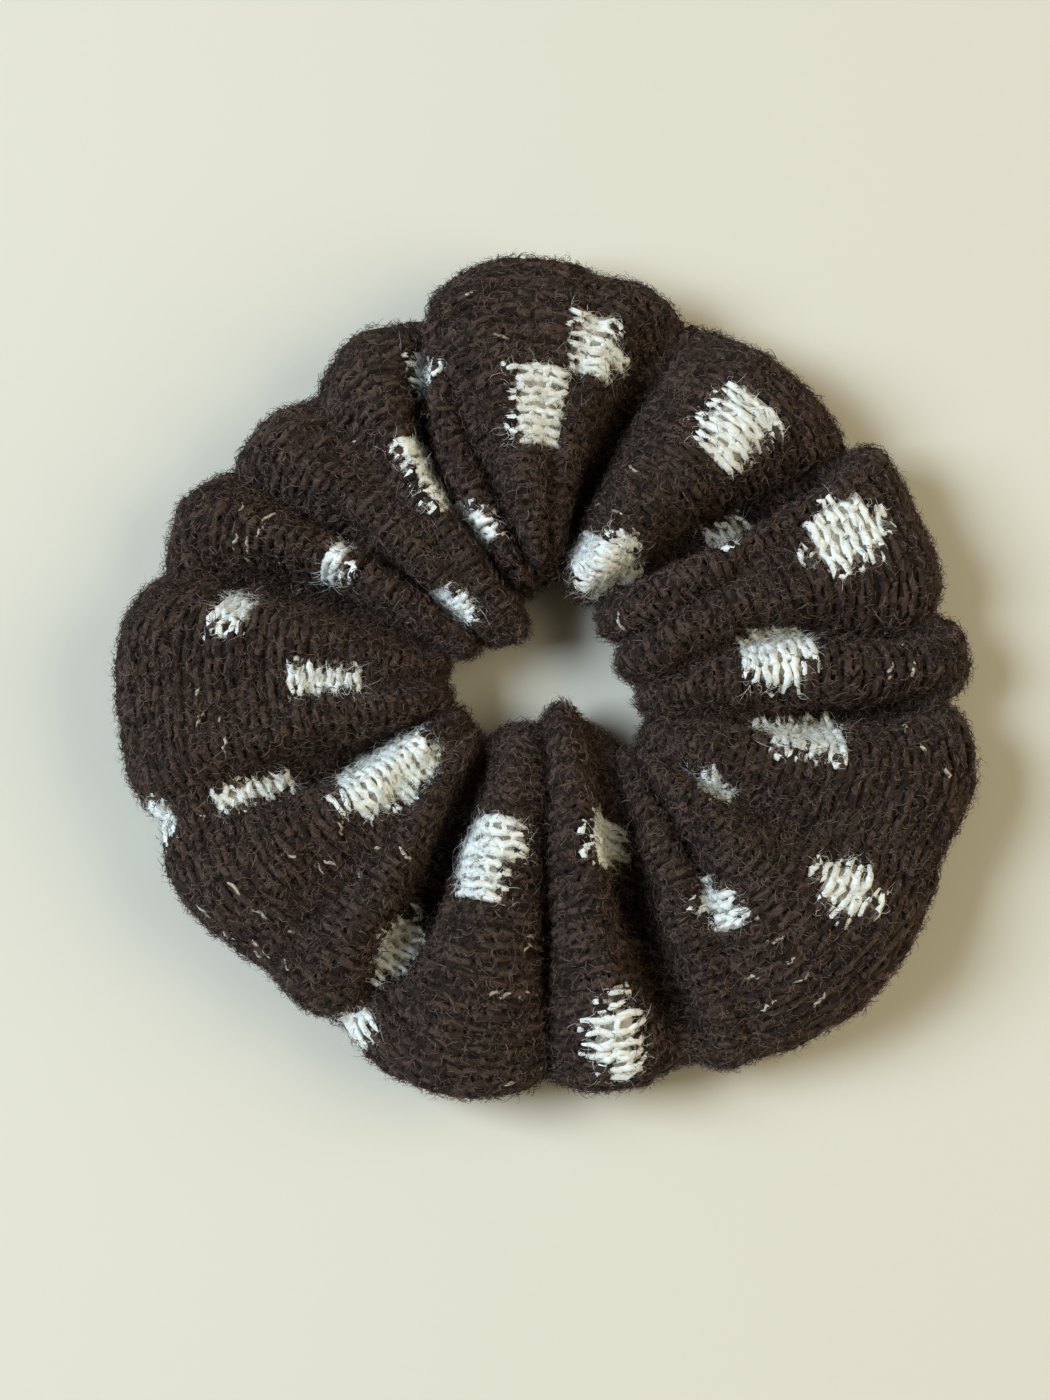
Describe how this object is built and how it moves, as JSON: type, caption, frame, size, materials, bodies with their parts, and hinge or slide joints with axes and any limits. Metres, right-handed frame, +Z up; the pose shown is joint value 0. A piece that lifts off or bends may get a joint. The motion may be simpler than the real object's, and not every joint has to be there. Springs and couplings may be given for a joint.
{
  "type": "scrunchie",
  "caption": "Gathered hair scrunchie: a polka-dot mohair-look knit tube shirred round a hidden loop of flat elastic.",
  "frame": {"origin": "on the table, at the middle of the ring", "axes": "+Z up along the ring's axis, with the ring lying flat; -Y towards the seam that closes the ring"},
  "size_m": [0.115, 0.115, 0.019],
  "materials": {
    "knit_brown": "dark brown brushed mohair-look jersey knit with a soft fibre halo",
    "knit_cream": "cream yarn knitted into the jersey as polka dots, slightly fuzzy",
    "sewing_thread": "dark brown polyester sewing thread",
    "elastic": "black braided flat elastic, matt, rubber cores under a textile braid"
  },
  "bodies": {
    "front_half": {"cover_front_right": "knit_brown", "cover_front_left": "knit_brown", "long_seam_thread_front_right": "sewing_thread", "long_seam_thread_front_left": "sewing_thread", "closing_seam_thread": "sewing_thread", "elastic_band": "elastic", "elastic_join_thread": "sewing_thread"},
    "back_half": {"cover_back": "knit_brown", "long_seam_thread_back": "sewing_thread"}
  },
  "joints": [
    {"name": "stretch", "type": "slide", "parent": "front_half", "child": "back_half", "axis": [0, 1, 0], "range_m": [0, 0.08], "stiffness_N_per_m": 100, "deforming": ["elastic_band"]}
  ]
}
